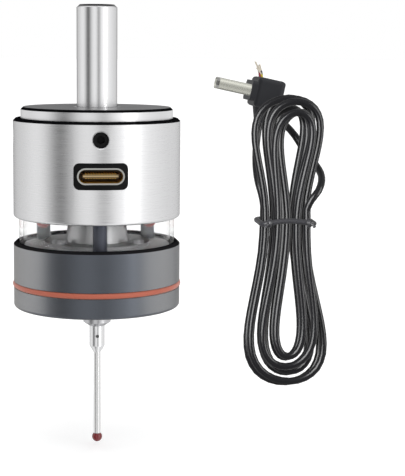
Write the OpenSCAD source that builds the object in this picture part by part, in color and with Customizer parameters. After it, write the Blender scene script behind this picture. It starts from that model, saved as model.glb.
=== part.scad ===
// Three-axis touch probe and edge finder for a milling spindle, with its separate cable.
// Millimetres. The origin is on the spindle axis at the shoulder, where the shank meets the cap.
// +Z runs up the shank, the socket faces -Y, and the wound cable hangs on the +X side.

/* [Shank and cap] */
// Diameter of the shank that a collet grips
shank_d = 8; // [6:0.5:10]
// Free length of the shank above the cap
shank_len = 20; // [16:1:30]
// Thickness of the cap's rim
cap_h = 2.2; // [1.8:0.1:3]
// How far the cap's edge stands inside the housing's
cap_inset = 1.5; // [1.2:0.1:2]

/* [Housings] */
// Outside diameter of both housings
body_d = 33; // [33:0.5:38]
// Height of the upper housing
upper_h = 19.5; // [19.5:0.5:24]
// Height of the window that shows between the housings
window_h = 4.9; // [4.5:0.1:8]
// Height of the lower housing above the sealing ring
lower_h = 8.45; // [8.25:0.05:10]
// Height of the base cover below the sealing ring
base_h = 4.55; // [4.3:0.05:5.2]
// Black chamfer on the housings' upper edges
edge_chamfer = 0.5; // [0.3:0.05:0.7]
// Rounding of the housings' lower edges
edge_round = 0.6; // [0.3:0.05:0.8]
// Thickness of the sealing ring's section
seal_d = 1.15; // [1:0.05:1.3]

/* [Window] */
// Wall of the clear ring
ring_t = 0.8; // [0.6:0.05:1]
// Depth to which the clear ring sits in each housing
ring_seat = 2; // [1.5:0.1:2]
// Diameter of the three posts
post_d = 2.75; // [2.6:0.05:3.2]
// Diameter of the status lights
led_d = 3; // [2.6:0.1:3.2]
// Diameter at the foot of the spring tower
tower_d = 12.5; // [11:0.5:13]

/* [Socket] */
// Distance of the socket's centre below the cap's top face
port_drop = 12.35; // [12.2:0.05:12.6]
// Width of the black bezel round the socket
bezel_w = 10.2; // [10:0.1:12]
// Height of the black bezel round the socket
bezel_h = 5; // [4.8:0.1:5.8]
// Distance of the centring screws below the cap's top face
grub_drop = 5.56; // [5.2:0.02:5.8]

/* [Seat] */
// Distance from the side of the housing in to each seat of the star's pins
seat_inset = 7.5; // [7.3:0.1:8]
// Diameter of the star's pins
pin_d = 2; // [1.6:0.1:2.2]
// Diameter of the balls that the pins rest on
ball_d = 3; // [2.8:0.1:3.1]
// Outside diameter of the return spring
spring_d = 6; // [5:0.2:6.4]
// Wire of the return spring
spring_wire = 0.6; // [0.4:0.05:0.7]

/* [Stylus] */
// Diameter of the boss that the stylus screws into
boss_d = 5.5; // [5:0.1:5.6]
// Diameter of the stylus base
stylus_base_d = 3.06; // [2.8:0.02:3.4]
// Length of the cylindrical part of the stylus base
stylus_base_len = 4.1; // [3.8:0.1:6]
// Diameter of the stem
stem_d = 1.4; // [1:0.05:1.5]
// Free length of the stem down to the centre of the tip
stem_len = 17.6; // [12:0.2:30]
// Diameter of the ruby tip
tip_d = 2.06; // [1.9:0.02:3]

/* [Cable] */
// Diameter of the cord
cord_d = 1.5; // [1.2:0.05:1.5]
// Turns of the wound cord
hank_turns = 7.5; // [3.5:2:7.5]
// Height of the band that ties the waist
tie_h = 1.1; // [0.8:0.1:2]
// Length of the plug's metal shell
plug_len = 6.65; // [6:0.05:7]

/* [Hidden] */
$fn = 64;

// Overrun of every cut past the face that it opens
cut = 0.5;
// Radial gap round a screw or pin that fills its hole
fit = 0.03;
// Radial gap round a screw that passes through a part freely
free_fit = 0.1;
// Gap between neighbours that only stand beside each other
clear = 0.3;
// Gap between two faces that lie against each other on parts that move apart
seat_gap = 0.06;

// Angles of the features that repeat round the axis; the socket is at 270
post_angles = [270, 30, 150];
pin_angles = [90, 210, 330];
grub_angles = [0, 90, 180, 270];

// Shank, cap and the screw that joins them
shank_r = shank_d / 2;
shank_chamfer = 0.6;
shank_step = 0.4;
root_r = shank_r - shank_step;
cap_recess_w = 0.7;
cap_recess_h = 0.3;
body_r = body_d / 2;
cap_r = body_r - cap_inset;
spigot_h = 6.7;
top_wall = 3.1;
top_bore_r = body_r - top_wall;
spigot_gap = 0.6;
spigot_r = top_bore_r - spigot_gap;
spigot_wall = 1.8;
cap_hub_wall = 2.4;
pocket_roof = 1.2;
shank_screw_r = 2;
shank_screw_len = 7;
shank_head_over = 2;
shank_head_h = 1.8;
shank_key_r = 1.6;
shank_key_h = 1.1;

// Centring screws and the groove that their points press on
grub_r = 1.5;
grub_point = 0.9;
grub_recess = 1.2;
grub_key_r = 0.85;
grub_key_h = 1.3;
grub_sink = 0.25;
groove_depth = 1.2;

// Levels from the cap downwards
z_cap_bottom = -cap_h;
z_spigot_bottom = z_cap_bottom - spigot_h;
z_upper_bottom = z_cap_bottom - upper_h;
z_lower_top = z_upper_bottom - window_h;
z_split = z_lower_top - lower_h;
z_base_bottom = z_split - base_h;
z_grub = -grub_drop;
z_port = -port_drop;

// Upper housing
side_wall = 2.1;
cavity_r = body_r - side_wall;
bulk_t = 2;
link_hole_r = 4;
skirt_wall = 1.07;
ring_bore_r = body_r - skirt_wall;
ring_outer_r = ring_bore_r - fit;
ring_inner_r = ring_outer_r - ring_t;
under_cavity_r = ring_inner_r - clear;

// Socket
usb_w = 8.94;
usb_h = 3.16;
usb_len = 7.35;
usb_wall = 0.3;
usb_recess = 0.4;
usb_back = 0.3;
bezel_corner = 1.1;
bezel_depth = 2.95;
tongue_w = 6.69;
tongue_t = 0.7;
tongue_recess = 0.8;
core_len = 1;
contact_count = 12;
contact_w = 0.25;
contact_pitch = 0.5;
contact_t = 0.12;
contact_len = 3.4;
contact_recess = 0.1;
usb_front_r = body_r - usb_recess;

// Boards
board_t = 1.2;
board_inset = 0.2;
board_r = top_bore_r - board_inset;
z_board_top = z_port - usb_h / 2;
z_board_bottom = z_board_top - board_t;
spacer_h = 1.37;
spacer_r = 2;
z_bulk_top = z_board_bottom - spacer_h;
z_bulk_bottom = z_bulk_top - bulk_t;
board_screw_inset = 2.2;
board_screw_pos = board_r - board_screw_inset;
board_screw_grip = 1.7;
chip_w = 5;
chip_h = 0.9;
chip_y = 3;
link_w = 5;
link_t = 2.5;
led_board_t = 1;
z_led_board = z_bulk_bottom - led_board_t;
led_board_r = under_cavity_r - clear;
led_len = 4.9;
led_flange_h = 1;
led_flange_over = 0.4;
led_inset = 3.8;
led_pos = ring_inner_r - led_inset;
led_side = 3.34;
led_turn = asin(led_side / led_pos);
led_angles = [post_angles[1] - led_turn, post_angles[2] + led_turn];

// Window levels
z_ring_top = z_upper_bottom + ring_seat;
z_ring_bottom = z_lower_top - ring_seat;
floor_t = 1.4;
floor_gap = 0.2;
floor_r = ring_inner_r - floor_gap;
z_floor_top = z_ring_bottom + floor_t;

// Small screws
m2_r = 1;
m2_head_r = 1.7;
m2_head_h = 1.1;
m2_key_r = 0.85;
m2_key_h = 0.6;
m16_r = 0.8;
m16_head_r = 1.5;
m16_head_h = 0.7;
slot_w = 0.45;
slot_h = 0.35;

// Posts
post_r = post_d / 2;
post_inset = 2.4;
post_pos = ring_inner_r - post_inset;
post_grip = 1.1;

// Spring tower
tower_r = tower_d / 2;
tower_flange_r = post_pos - post_r - clear;
tower_flange_t = 0.6;
tower_gap = 2.4;
tower_taper_share = 0.9;
tower_screw_gap = 2.375;
tower_screw_pos = tower_r + tower_screw_gap;
tower_ear_r = m16_head_r + free_fit;
tower_screw_grip = 1.1;
spring_r = spring_d / 2;
spring_side_gap = 0.5;
load_screw_r = spring_r + spring_side_gap;
load_screw_h = 1.4;
load_slot_w = 0.8;
load_slot_h = 0.5;
z_tower_top = z_led_board - tower_gap;
z_flange_top = z_floor_top + tower_flange_t;
z_load_bottom = z_tower_top - load_screw_h;
floor_hole_over = 0.5;
floor_hole_r = load_screw_r + floor_hole_over;
spring_turns = 5;
spring_rings = 12;
wire_sides = 6;

// Base, seats and star
seat_r = body_r - seat_inset;
base_floor_t = 2;
z_base_floor = z_base_bottom + base_floor_t;
seat_ring_t = 1.7;
z_seat_top = z_base_floor + seat_ring_t;
ball_r = ball_d / 2;
pin_r = pin_d / 2;
ball_rise = 0.7;
ball_half_space = 1.6;
pocket_gap = 0.02;
z_ball = z_seat_top + ball_rise;
reach = pin_r + ball_r + seat_gap;
z_pin = z_ball + sqrt(reach * reach - ball_half_space * ball_half_space);
pin_overhang = 1.1;
pin_tip_r = seat_r + pin_overhang;
pin_root_r = 1.6;
pin_end = 0.2;
inner_flange_t = 1.2;
flange_reach = 1.6;
inner_flange_r = post_pos - flange_reach;
z_inner_flange = z_ring_bottom - inner_flange_t;
lower_wall = 4;
lower_bore_r = body_r - lower_wall;
seat_ring_gap = 0.2;
seat_ring_r = lower_bore_r - seat_ring_gap;
seat_screw_grip = 1.4;
seat_head_h = 0.7;
seal_proud = 0.2;
seal_r = seal_d / 2;
seal_gap = 0.03;
seal_pos = body_r + seal_proud - seal_r;
groove_r = seal_pos - seal_r - seal_gap;
groove_half = seal_r + seal_gap;
base_screw_inset = 2.4;
base_screw_pos = body_r - base_screw_inset;
base_screw_grip = 3.4;
base_head_r = 1.8;
base_head_h = 1;
hole_gap = 1.45;
hole_chamfer = 0.5;

// Hub, boss and dust seal
hub_r = 4.5;
hub_h = 4;
hub_chamfer = 0.3;
z_hub_top = z_pin + hub_h / 2;
z_hub_bottom = z_pin - hub_h / 2;
boss_r = boss_d / 2;
boss_drop = 3.5;
boss_cone = 0.8;
z_boss_cone = z_base_bottom - boss_drop;
z_boss_end = z_boss_cone - boss_cone;
base_hole_r = boss_r + hole_gap;
seat_hole_share = 0.185;
seat_ring_hole_r = base_hole_r + seat_hole_share * (seat_ring_r - base_hole_r);
seat_screw_pos = (seat_ring_hole_r + seat_ring_r) / 2;
dust_rim_r = 6.3;
dust_rim_t = 0.8;
dust_rim_w = 1.5;
dust_skin = 0.3;
dust_lip_gap = 0.1;
dust_wave = 0.45;

// Stylus
stylus_base_r = stylus_base_d / 2;
stylus_taper = 1.3;
stud_r = 1;
stud_len = 4.4;
stud_gap = 0.8;
cross_hole_r = 0.35;
cross_hole_drop = 2;
stem_r = stem_d / 2;
stem_root = 2.6;
glue_gap = 0.02;
taper_lip = 0.05;
tip_r = tip_d / 2;
peg_r = 0.3;
peg_share = 0.1;
z_taper = z_boss_end - stylus_base_len;
z_stem_top = z_taper - stylus_taper;
z_tip = z_stem_top - stem_len;

// Plug: a right-angled one that lies flat and tilted, whose cord leaves it downwards
plug_root = [31.7, 9.6, 3.2];
plug_tilt = 12;
plug_w = 8.25;
plug_t = 2.4;
plug_wall = 0.25;
plug_back = 1.2;
plug_core_back = 0.4;
plug_slot_w = 6.9;
plug_slot_t = 0.9;
plug_core_lip = 0.3;
collar_len = 1;
collar_w = 9;
collar_t = 4.2;
mould_len = 5.8;
mould_w = 9.6;
mould_t = 6.2;
mould_round = 0.9;
relief_len = 3.1;
relief_top_r = 2.5;
relief_end_r = 1.25;
relief_back = collar_len + mould_len / 2;
exit_drop = mould_t / 2 + relief_len;

// Wound cord: 4 layers, each spiralling in or out by two turns, drawn in at the waist
cord_r = cord_d / 2;
hank_x = 38.6;
tie_z = -23.2;
waist_half = 4.45;
waist_step = 2.05;
top_half = 7.3;
bottom_half = 8;
lobe_step = 2.7;
top_height = 25.2;
bottom_height = 32.5;
end_step = 2.1;
layer_step = 2;
back_layer_y = 3;
turns_per_layer = 2;
climb_turns = 0.5;
hank_rings = 24;
cord_sides = 6;
tail_sides = 8;
tie_t = 0.8;
tie_gap = 0.1;
tie_knot_r = 1;
tie_corner = 0.9;

// Route of the cord from the plug down to the waist, chosen by hand
plug_tail_points = [
    [33.5, 9, -8], [33.2, 7.8, -10.8], [33.1, 6.2, -13.4], [33.3, 4.7, -15.8], [33.8, 3.5, -18]
];
// Route of the cord from the waist round the right side and up behind the plug, chosen by hand
far_tail_points = [
    [42.8, -3.4, -18.4], [44.3, -2.9, -16.6], [45.3, -1, -14.9], [45.6, 1.4, -13.5],
    [45.1, 3.8, -12.1], [44, 5.8, -10.5], [42.8, 7.4, -8.5], [41.6, 9, -6.3],
    [40.2, 11.6, -4.4], [38.4, 14.2, -2.8], [36.4, 15.5, -1.2], [34.9, 15.6, 1], [34.3, 15.5, 3]
];
// Where the jacket ends
jacket_end = [34.3, 15.5, 5.2];

// Core wires of the stripped end
core_d = 0.5;
core_spread = 0.4;
core_lean = 6;
core_lens = [2.2, 2.8, 3.4, 2.5];
core_colours = ["gold", "crimson", "dimgray", "whitesmoke"];
bare_d = 0.34;
bare_len = 1.3;

// Angle round the loop, from the left side downwards, after u turns
function turn_angle(u) = 180 + 360 * u;
// Turns that the spiral has gone in from its widest, after u turns
function turns_in(u) =
    let (part = u - 2 * turns_per_layer * floor(u / (2 * turns_per_layer)))
    turns_per_layer - abs(part - turns_per_layer);
// Layer after u turns, with each climb spread over the half turn where the spiral reverses
function layer_at(u) =
    let (nearest = round(u / turns_per_layer))
    let (share = (u - nearest * turns_per_layer) / climb_turns)
    nearest == 0 ? 0 : nearest - 1 + min(1, max(0, share + 0.5));
// Half width of the loop's straight side at its waist and how far it flares to the lobe
function waist_at(u) = waist_half - waist_step * turns_in(u);
function lobe_at(u, half) = half - lobe_step * turns_in(u);
function flare_at(u, half) = 2 * (sqrt(2) * lobe_at(u, half) - waist_at(u));
function hank_point(u) =
    let (a = turn_angle(u), up = sin(a) > 0)
    let (flare = flare_at(u, up ? top_half : bottom_half))
    let (tall = (up ? top_height : bottom_height) - end_step * turns_in(u))
    [
        hank_x + cos(a) * (waist_at(u) + flare * sin(a) * sin(a)),
        back_layer_y - layer_step * layer_at(u),
        tie_z + tall * sin(a)
    ];
hank_start = hank_point(0);
hank_end = hank_point(hank_turns);
hank_path = concat(
    [hank_start + [0, 0, cord_d]],
    [for (i = [0 : hank_rings * hank_turns]) hank_point(i / hank_rings)],
    [hank_end + [0, 0, cord_d]]
);
exit_way = [-sin(plug_tilt), 0, -cos(plug_tilt)];
plug_exit = plug_root + relief_back * [cos(plug_tilt), 0, -sin(plug_tilt)] + exit_drop * exit_way;
plug_tail_path = concat(
    [plug_exit, plug_exit + cord_d * exit_way],
    plug_tail_points,
    [hank_start + [0, 0, 2 * cord_d], hank_start + [0, 0, cord_d]]
);
far_tail_path = concat(
    [hank_end + [0, 0, cord_d], hank_end + [0, 0, 2 * cord_d]],
    far_tail_points,
    [jacket_end - [0, 0, cord_d], jacket_end]
);

// Least distance from a point to a stretch, and the least gap of the wound cord to itself
function stretch_distance(p, a, b) =
    let (along = min(1, max(0, (p - a) * (b - a) / ((b - a) * (b - a)))))
    norm(p - a - along * (b - a));
near_rings = hank_rings / 3;
hank_gap = min([
    for (i = [0 : len(hank_path) - 1])
        for (j = [i + near_rings : len(hank_path) - 2])
            stretch_distance(hank_path[i], hank_path[j], hank_path[j + 1])
]) - cord_d;
// Length of a path
function path_length(path) = len(path) < 2 ? 0 : [
    for (i = 1, total = norm(path[1] - path[0]); i < len(path);
        i = i + 1, total = total + (i < len(path) ? norm(path[i] - path[i - 1]) : 0)) total
][len(path) - 2];
echo(hank_gap = hank_gap);
echo(cord_length = path_length(plug_tail_path) + path_length(hank_path) + path_length(far_tail_path));

// One ring of a tube: the section stands square to the path, turned from a fixed direction
function unit(v) = v / norm(v);
function heading(path, i) =
    unit(path[min(i + 1, len(path) - 1)] - path[max(i - 1, 0)]);
function tube_ring(path, i, r, sides, from) =
    let (along = heading(path, i))
    let (side = unit(cross(along, from)), top = cross(side, along))
    [for (k = [0 : sides - 1]) path[i] + r * (cos(360 * k / sides) * side + sin(360 * k / sides) * top)];

// A tube along a path, closed at both ends, with every face a triangle
module tube(path, r, sides, from) {
    rings = len(path);
    points = concat(
        [for (i = [0 : rings - 1]) each tube_ring(path, i, r, sides, from)],
        [path[0], path[rings - 1]]
    );
    walls = [
        for (i = [0 : rings - 2])
            for (k = [0 : sides - 1])
                let (a = i * sides + k, b = i * sides + (k + 1) % sides)
                each [[a, b + sides, b], [a, a + sides, b + sides]]
    ];
    first = rings * sides;
    ends = [
        for (k = [0 : sides - 1])
            let (next = (k + 1) % sides, last = (rings - 1) * sides)
            each [[first, k, next], [first + 1, last + next, last + k]]
    ];
    polyhedron(points = points, faces = concat(walls, ends), convexity = 10);
}

// An upright rod between two levels
module rod(z_low, z_high, r) {
    translate([0, 0, z_low])
        cylinder(h = z_high - z_low, r = r);
}

// An upright cone between two levels
module cone(z_low, z_high, r_low, r_high) {
    translate([0, 0, z_low])
        cylinder(h = z_high - z_low, r1 = r_low, r2 = r_high);
}

// A rod that points away from the axis
module radial_rod(r_near, r_far, z, r) {
    translate([r_near, 0, z])
        rotate([0, 90, 0])
            cylinder(h = r_far - r_near, r = r);
}

// Copies round the axis
module around(angles) {
    for (a = angles)
        rotate([0, 0, a])
            children();
}

// Copies round the axis, each moved out from it
module around_at(angles, r) {
    around(angles)
        translate([r, 0, 0])
            children();
}

// A rectangle with round corners, centred
module rounded_rect(w, h, r) {
    square([w - 2 * r, h], center = true);
    square([w, h - 2 * r], center = true);
    for (x = [-1, 1])
        for (y = [-1, 1])
            translate([x * (w / 2 - r), y * (h / 2 - r)])
                circle(r = r);
}

// A bar with fully round ends, centred
module stadium(w, h) {
    square([w - h, h], center = true);
    for (x = [-1, 1])
        translate([x * (w - h) / 2, 0])
            circle(r = h / 2);
}

// An outline stood upright and driven forwards, from one distance before the axis to a farther one
module forwards(near, far, z) {
    translate([0, -near, z])
        rotate([90, 0, 0])
            linear_extrude(far - near)
                children();
}

// Points of a quarter round on a profile's lower outer edge
function lower_round(r, z, size) = [
    for (a = [0 : 15 : 90]) [r - size + size * cos(a), z + size - size * sin(a)]
];

// A screw that stands head up on a face, with a hexagon key hole
module key_screw(z_face, r, length, head_r, head_h, key_r, key_h) {
    difference() {
        union() {
            rod(z_face - length, z_face, r);
            rod(z_face, z_face + head_h, head_r);
        }
        translate([0, 0, z_face + head_h - key_h])
            cylinder(h = key_h + cut, r = key_r, $fn = 6);
    }
}

// A cross slot cut downwards from a level
module cross_slot(z_top, width, depth, span) {
    for (a = [0, 90])
        rotate([0, 0, a])
            translate([-span / 2, -width / 2, z_top - depth])
                cube([span, width, depth + cut]);
}

module shank() {
    color("#d9d9d8")
        difference() {
            union() {
                rod(z_spigot_bottom, 0, root_r);
                rod(0, shank_len - shank_chamfer, shank_r);
                cone(shank_len - shank_chamfer, shank_len, shank_r, shank_r - shank_chamfer);
            }
            rod(z_spigot_bottom - cut, z_spigot_bottom + shank_screw_len + cut, shank_screw_r + fit);
        }
}

module top_cap() {
    hub_outer = shank_r + cap_hub_wall;
    pocket_outer = spigot_r - groove_depth - spigot_wall;
    z_pocket = z_cap_bottom - pocket_roof;
    color("#8a8a8a")
        rotate_extrude()
            polygon(concat(
                [
                    [root_r + fit, z_spigot_bottom],
                    [hub_outer, z_spigot_bottom],
                    [hub_outer, z_pocket],
                    [pocket_outer, z_pocket],
                    [pocket_outer, z_spigot_bottom],
                    [spigot_r, z_spigot_bottom],
                    [spigot_r, z_grub - groove_depth],
                    [spigot_r - groove_depth, z_grub],
                    [spigot_r, z_grub + groove_depth],
                    [spigot_r, z_cap_bottom],
                    [cap_r, z_cap_bottom],
                    [cap_r, -edge_chamfer],
                    [cap_r - edge_chamfer, 0]
                ],
                [
                    [shank_r + cap_recess_w, 0],
                    [shank_r + cap_recess_w, -cap_recess_h],
                    [shank_r, -cap_recess_h],
                    [shank_r, 0],
                    [root_r + fit, 0]
                ]
            ));
}

module shank_screw() {
    color("#3c3c3e")
        rotate([180, 0, 0])
            key_screw(-z_spigot_bottom, shank_screw_r, shank_screw_len,
                shank_r + shank_head_over, shank_head_h, shank_key_r, shank_key_h);
}

// One centring screw, pointing at the axis
module centring_screw() {
    r_out = body_r - grub_recess;
    r_in = spigot_r - groove_depth + grub_r - grub_point + fit;
    difference() {
        union() {
            radial_rod(r_in + grub_point, r_out, z_grub, grub_r);
            translate([r_in, 0, z_grub])
                rotate([0, 90, 0])
                    cylinder(h = grub_point, r1 = grub_r - grub_point, r2 = grub_r);
        }
        translate([r_out - grub_key_h, 0, z_grub])
            rotate([0, 90, 0])
                cylinder(h = grub_key_h + cut, r = grub_key_r, $fn = 6);
    }
}

module centring_screws() {
    color("#2a2a2c")
        around(grub_angles)
            centring_screw();
}

module upper_shell() {
    z_step = z_spigot_bottom - clear;
    rotate_extrude()
        polygon(concat(
            [
                [top_bore_r, z_cap_bottom],
                [body_r - edge_chamfer, z_cap_bottom],
                [body_r, z_cap_bottom - edge_chamfer]
            ],
            lower_round(body_r, z_upper_bottom, edge_round),
            [
                [ring_bore_r, z_upper_bottom],
                [ring_bore_r, z_ring_top],
                [under_cavity_r, z_ring_top],
                [under_cavity_r, z_bulk_bottom],
                [link_hole_r, z_bulk_bottom],
                [link_hole_r, z_bulk_top],
                [cavity_r, z_bulk_top],
                [cavity_r, z_step],
                [top_bore_r, z_step]
            ]
        ));
}

module upper_housing() {
    color("#d2d2d3")
        difference() {
            upper_shell();
            around(grub_angles) {
                radial_rod(top_bore_r - cut, body_r + cut, z_grub, grub_r + fit);
                translate([body_r - grub_sink, 0, z_grub])
                    rotate([0, 90, 0])
                        cylinder(h = grub_sink + cut, r1 = grub_r + fit, r2 = grub_r + fit + grub_sink + cut);
            }
            forwards(top_bore_r - cut, body_r + cut, z_port)
                rounded_rect(bezel_w + 2 * fit, bezel_h + 2 * fit, bezel_corner + fit);
            around_at(post_angles, post_pos)
                rod(z_bulk_bottom - cut, z_bulk_top + cut, m2_r + free_fit);
            around_at(pin_angles, board_screw_pos)
                rod(z_bulk_bottom - cut, z_bulk_top + cut, m2_r + fit);
        }
}

module port_bezel() {
    color("#1b1b1d")
        intersection() {
            forwards(body_r - bezel_depth, body_r, z_port)
                difference() {
                    rounded_rect(bezel_w, bezel_h, bezel_corner);
                    stadium(usb_w + 2 * fit, usb_h + 2 * fit);
                }
            rod(z_port - bezel_h, z_port + bezel_h, body_r - fit);
        }
}

module usb_shell() {
    inner_w = usb_w - 2 * usb_wall;
    inner_h = usb_h - 2 * usb_wall;
    color("#c9c9c4")
        difference() {
            forwards(usb_front_r - usb_len, usb_front_r, z_port)
                stadium(usb_w, usb_h);
            forwards(usb_front_r - usb_len + usb_back, usb_front_r + cut, z_port)
                stadium(inner_w, inner_h);
        }
}

module usb_tongue() {
    inner_w = usb_w - 2 * usb_wall - 2 * pocket_gap;
    inner_h = usb_h - 2 * usb_wall - 2 * pocket_gap;
    back = usb_front_r - usb_len + usb_back;
    color("#232325") {
        forwards(back, back + core_len, z_port)
            stadium(inner_w, inner_h);
        forwards(back + core_len, usb_front_r - tongue_recess, z_port)
            square([tongue_w, tongue_t], center = true);
    }
}

module usb_contacts() {
    front = usb_front_r - tongue_recess - contact_recess;
    color("#d9a441")
        for (side = [-1, 1])
            for (k = [0 : contact_count - 1])
                translate([(k - (contact_count - 1) / 2) * contact_pitch, 0, 0])
                    forwards(front - contact_len, front, z_port + side * (tongue_t + contact_t) / 2)
                        square([contact_w, contact_t], center = true);
}

module main_board() {
    color("#1f4d33")
        difference() {
            rod(z_board_bottom, z_board_top, board_r);
            around_at(pin_angles, board_screw_pos)
                rod(z_board_bottom - cut, z_board_top + cut, m2_r + free_fit);
        }
}

module control_chip() {
    color("#222224")
        translate([-chip_w / 2, chip_y - chip_w / 2, z_board_top])
            cube([chip_w, chip_w, chip_h]);
}

module board_spacers() {
    color("#c8b27a")
        around_at(pin_angles, board_screw_pos)
            difference() {
                rod(z_bulk_top, z_board_bottom, spacer_r);
                rod(z_bulk_top - cut, z_board_bottom + cut, m2_r + free_fit);
            }
}

module board_screws() {
    color("#b9b9ba")
        around_at(pin_angles, board_screw_pos)
            key_screw(z_board_top, m2_r, board_t + spacer_h + board_screw_grip,
                m2_head_r, m2_head_h, m2_key_r, m2_key_h);
}

module board_link() {
    color("#2b2b2d")
        translate([-link_w / 2, -link_t / 2, z_bulk_bottom])
            cube([link_w, link_t, z_board_bottom - z_bulk_bottom]);
}

module led_board() {
    color("#26513a")
        difference() {
            rod(z_led_board, z_bulk_bottom, led_board_r);
            around_at(post_angles, post_pos)
                rod(z_led_board - cut, z_bulk_bottom + cut, m2_r + free_fit);
        }
}

module status_leds() {
    led_r = led_d / 2;
    z_dome = z_led_board - led_len + led_r;
    color("#c8372d")
        around_at(led_angles, led_pos) {
            rod(z_led_board - led_flange_h, z_led_board, led_r + led_flange_over);
            rod(z_dome, z_led_board - led_flange_h, led_r);
            translate([0, 0, z_dome])
                sphere(r = led_r);
        }
}

module clear_ring() {
    color("#e8eef0", 0.35)
        difference() {
            rod(z_ring_bottom, z_ring_top, ring_outer_r);
            rod(z_ring_bottom - cut, z_ring_top + cut, ring_inner_r);
        }
}

// One of the three posts, at its angle
module window_post(angle) {
    color("#5c5f6b")
        around_at([angle], post_pos)
            difference() {
                rod(z_floor_top, z_led_board, post_r);
                rod(z_floor_top - cut, z_led_board + cut, m2_r + free_fit);
            }
}

module post_front() { window_post(post_angles[0]); }
module post_right() { window_post(post_angles[1]); }
module post_left() { window_post(post_angles[2]); }

module post_screws() {
    color("#b9b9ba")
        around_at(post_angles, post_pos)
            key_screw(z_bulk_top, m2_r, z_bulk_top - z_ring_bottom + post_grip,
                m2_head_r, m2_head_h, m2_key_r, m2_key_h);
}

module floor_plate() {
    color("#8b8b8b")
        difference() {
            rod(z_ring_bottom, z_floor_top, floor_r);
            rod(z_ring_bottom - cut, z_floor_top + cut, floor_hole_r);
            around_at(post_angles, post_pos)
                rod(z_ring_bottom - cut, z_floor_top + cut, m2_r + free_fit);
            around_at(pin_angles, tower_screw_pos)
                rod(z_ring_bottom - cut, z_floor_top + cut, m16_r + fit);
        }
}

module spring_tower() {
    color("#a9a9a9")
        difference() {
            union() {
                rod(z_floor_top, z_flange_top, tower_flange_r);
                around_at(pin_angles, tower_screw_pos)
                    rod(z_floor_top, z_flange_top, tower_ear_r);
                cone(z_flange_top, z_tower_top, tower_r, tower_r * tower_taper_share);
            }
            rod(z_floor_top - cut, z_tower_top + cut, load_screw_r + fit);
            around_at(pin_angles, tower_screw_pos)
                rod(z_floor_top - cut, z_flange_top + cut, m16_r + free_fit);
        }
}

module tower_screws() {
    color("#9a9a9c")
        around_at(pin_angles, tower_screw_pos)
            difference() {
                union() {
                    rod(z_floor_top - tower_screw_grip, z_flange_top, m16_r);
                    rod(z_flange_top, z_flange_top + m16_head_h, m16_head_r);
                }
                cross_slot(z_flange_top + m16_head_h, slot_w, slot_h, m16_head_r);
            }
}

module load_screw() {
    color("#c6b06a")
        difference() {
            rod(z_load_bottom, z_tower_top, load_screw_r);
            translate([-load_screw_r - cut, -load_slot_w / 2, z_tower_top - load_slot_h])
                cube([2 * load_screw_r + 2 * cut, load_slot_w, load_slot_h + cut]);
        }
}

module return_spring() {
    wire_r = spring_wire / 2;
    coil_r = spring_r - wire_r;
    low = z_hub_top + wire_r + seat_gap;
    rise = z_load_bottom - wire_r - seat_gap - low;
    steps = spring_turns * spring_rings;
    path = [
        for (i = [0 : steps])
            [coil_r * cos(360 * i / spring_rings), coil_r * sin(360 * i / spring_rings), low + rise * i / steps]
    ];
    color("#b4b4b2")
        tube(path, wire_r, wire_sides, [0, 0, 1]);
}

module lower_shell() {
    rotate_extrude()
        polygon([
            [ring_bore_r, z_lower_top],
            [body_r - edge_chamfer, z_lower_top],
            [body_r, z_lower_top - edge_chamfer],
            [body_r, z_split + groove_half],
            [groove_r, z_split + groove_half],
            [groove_r, z_split],
            [lower_bore_r, z_split],
            [lower_bore_r, z_inner_flange],
            [inner_flange_r, z_inner_flange],
            [inner_flange_r, z_ring_bottom],
            [ring_bore_r, z_ring_bottom]
        ]);
}

module lower_housing() {
    color("#6c7178")
        difference() {
            lower_shell();
            around_at(post_angles, post_pos)
                rod(z_inner_flange - cut, z_ring_bottom + cut, m2_r + fit);
            around_at(pin_angles, base_screw_pos)
                rod(z_split - cut, z_split + base_screw_grip + clear, m2_r + fit);
        }
}

module seal_ring() {
    color("#e0664a")
        rotate_extrude()
            translate([seal_pos, z_split])
                circle(r = seal_r);
}

module base_shell() {
    rotate_extrude()
        polygon(concat(
            [
                [lower_bore_r, z_base_floor],
                [lower_bore_r, z_split],
                [groove_r, z_split],
                [groove_r, z_split - groove_half],
                [body_r, z_split - groove_half]
            ],
            lower_round(body_r, z_base_bottom, edge_round),
            [
                [base_hole_r + hole_chamfer, z_base_bottom],
                [base_hole_r, z_base_bottom + hole_chamfer],
                [base_hole_r, z_base_floor]
            ]
        ));
}

module base_cover() {
    color("#696e75")
        difference() {
            base_shell();
            around_at(pin_angles, base_screw_pos) {
                rod(z_base_bottom - cut, z_split + cut, m2_r + free_fit);
                rod(z_base_bottom - cut, z_base_bottom + base_head_h, base_head_r + free_fit);
            }
            around_at(post_angles, seat_screw_pos)
                rod(z_base_floor - seat_screw_grip - fit, z_base_floor + cut, m16_r + fit);
        }
}

module base_screws() {
    color("#b9b9ba")
        around_at(pin_angles, base_screw_pos)
            rotate([180, 0, 0])
                key_screw(-z_base_bottom - base_head_h, m2_r,
                    z_split + base_screw_grip - z_base_bottom - base_head_h,
                    base_head_r, base_head_h, m2_key_r, m2_key_h);
}

module seat_ring() {
    color("#d8d2be")
        difference() {
            rod(z_base_floor, z_seat_top, seat_ring_r);
            rod(z_base_floor - cut, z_seat_top + cut, seat_ring_hole_r);
            rod(z_base_floor - cut, z_base_floor + dust_rim_t + 2 * pocket_gap, dust_rim_r + fit);
            around_at(pin_angles, seat_r)
                for (side = [-1, 1])
                    translate([0, side * ball_half_space, z_ball])
                        sphere(r = ball_r + pocket_gap);
            around_at(post_angles, seat_screw_pos) {
                rod(z_base_floor - cut, z_seat_top + cut, m16_r + free_fit);
                rod(z_seat_top - seat_head_h, z_seat_top + cut, m16_head_r + free_fit);
            }
        }
}

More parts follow.
